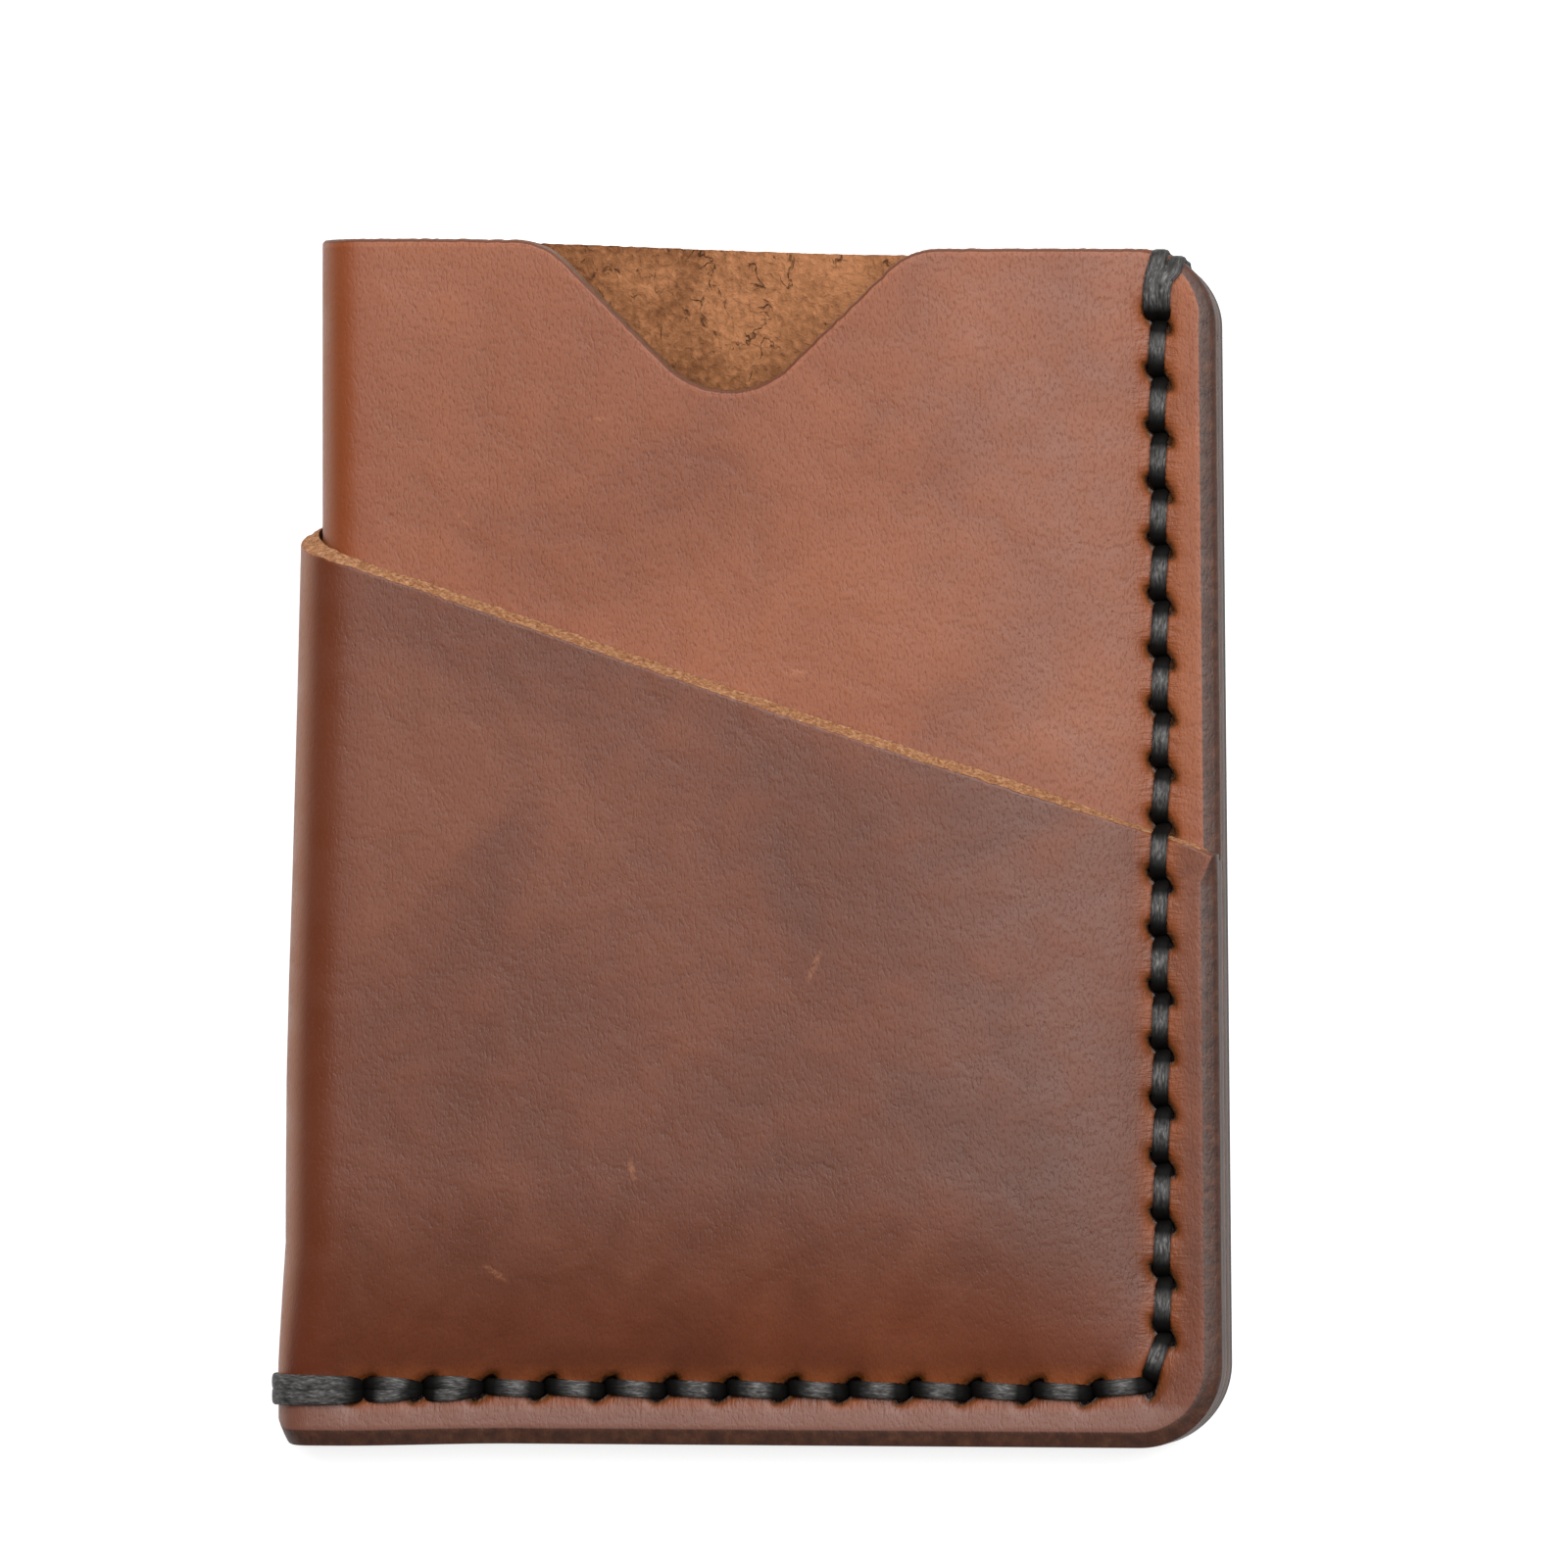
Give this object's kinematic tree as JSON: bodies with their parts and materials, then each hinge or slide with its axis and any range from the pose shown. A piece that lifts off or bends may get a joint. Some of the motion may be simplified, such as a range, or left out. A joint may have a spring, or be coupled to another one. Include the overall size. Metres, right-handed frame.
{
  "type": "leather card holder",
  "caption": "Flat upright leather holder for cards: a folded sleeve with a thumb notch inside a folded wrap with a slanted mouth, saddle-stitched along the side and the bottom.",
  "frame": {"origin": "middle of the holder's box in plan, on the surface that its back lies on", "axes": "+X from the folds to the stitched side, +Y from the stitched bottom to the pocket mouths, +Z out of the front"},
  "size_m": [0.0816, 0.1024, 0.0105],
  "materials": {
    "sleeve_leather": "waxed full-grain, reddish brown, rough flesh side",
    "wrap_leather": "waxed full-grain, reddish brown, burnished edges",
    "waxed_thread": "black braided thread, waxed"
  },
  "bodies": {
    "root": {"inner_sleeve": "sleeve_leather", "outer_wrap": "wrap_leather", "saddle_thread": "waxed_thread"}
  },
  "joints": []
}
